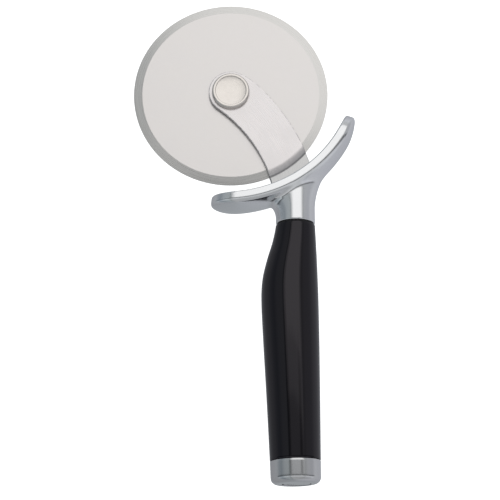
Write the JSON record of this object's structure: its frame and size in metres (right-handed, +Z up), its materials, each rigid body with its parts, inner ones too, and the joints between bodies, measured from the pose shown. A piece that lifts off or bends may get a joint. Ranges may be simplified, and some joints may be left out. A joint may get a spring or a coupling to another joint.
{
  "type": "pastry cutter wheel",
  "caption": "Round steel cutting wheel turning in a two-arm fork, with a curved finger guard, an oval black grip and a metal end cap.",
  "frame": {"origin": "middle of the bounding box at its lowest level, with the cutter lying flat and its blade level", "axes": "+Z up along the blade's axle, -Y along the handle towards the end cap, +X to the side that the neck stands on"},
  "size_m": [0.1024, 0.2258, 0.0228],
  "materials": {
    "blade_steel": "fine satin face, circumferentially ground bevel",
    "arm_steel": "brushed lengthwise",
    "axle_steel": "smooth satin",
    "bolster_metal": "satin chrome plate on cast zinc",
    "cap_metal": "satin chrome plate",
    "inner_steel": "plain zinc-plated",
    "nylon": "natural",
    "grip_black": "high gloss black",
    "core_plastic": "as moulded",
    "gasket_rubber": "matte black"
  },
  "bodies": {
    "handle": {"washer_front": "nylon", "washer_rear": "nylon", "fork_arm_front": "arm_steel", "fork_arm_rear": "arm_steel", "axle_screw": "axle_steel", "axle_barrel": "axle_steel", "tang_rivet_1": "inner_steel", "tang_rivet_2": "inner_steel", "bolster_guard": "bolster_metal", "neck_gasket": "gasket_rubber", "grip_shell": "grip_black", "grip_core": "core_plastic", "tie_rod": "inner_steel", "tie_washer": "inner_steel", "tie_nut": "inner_steel", "end_cap": "cap_metal", "cap_plug": "cap_metal"},
    "wheel": {"blade_wheel": "blade_steel", "hub_bushing": "nylon"}
  },
  "joints": [
    {"name": "wheel_spin", "type": "hinge", "parent": "handle", "child": "wheel", "pos_m": [-0.00617, 0.06789, 0.0114], "axis": [0, 0, 1], "continuous": true}
  ]
}
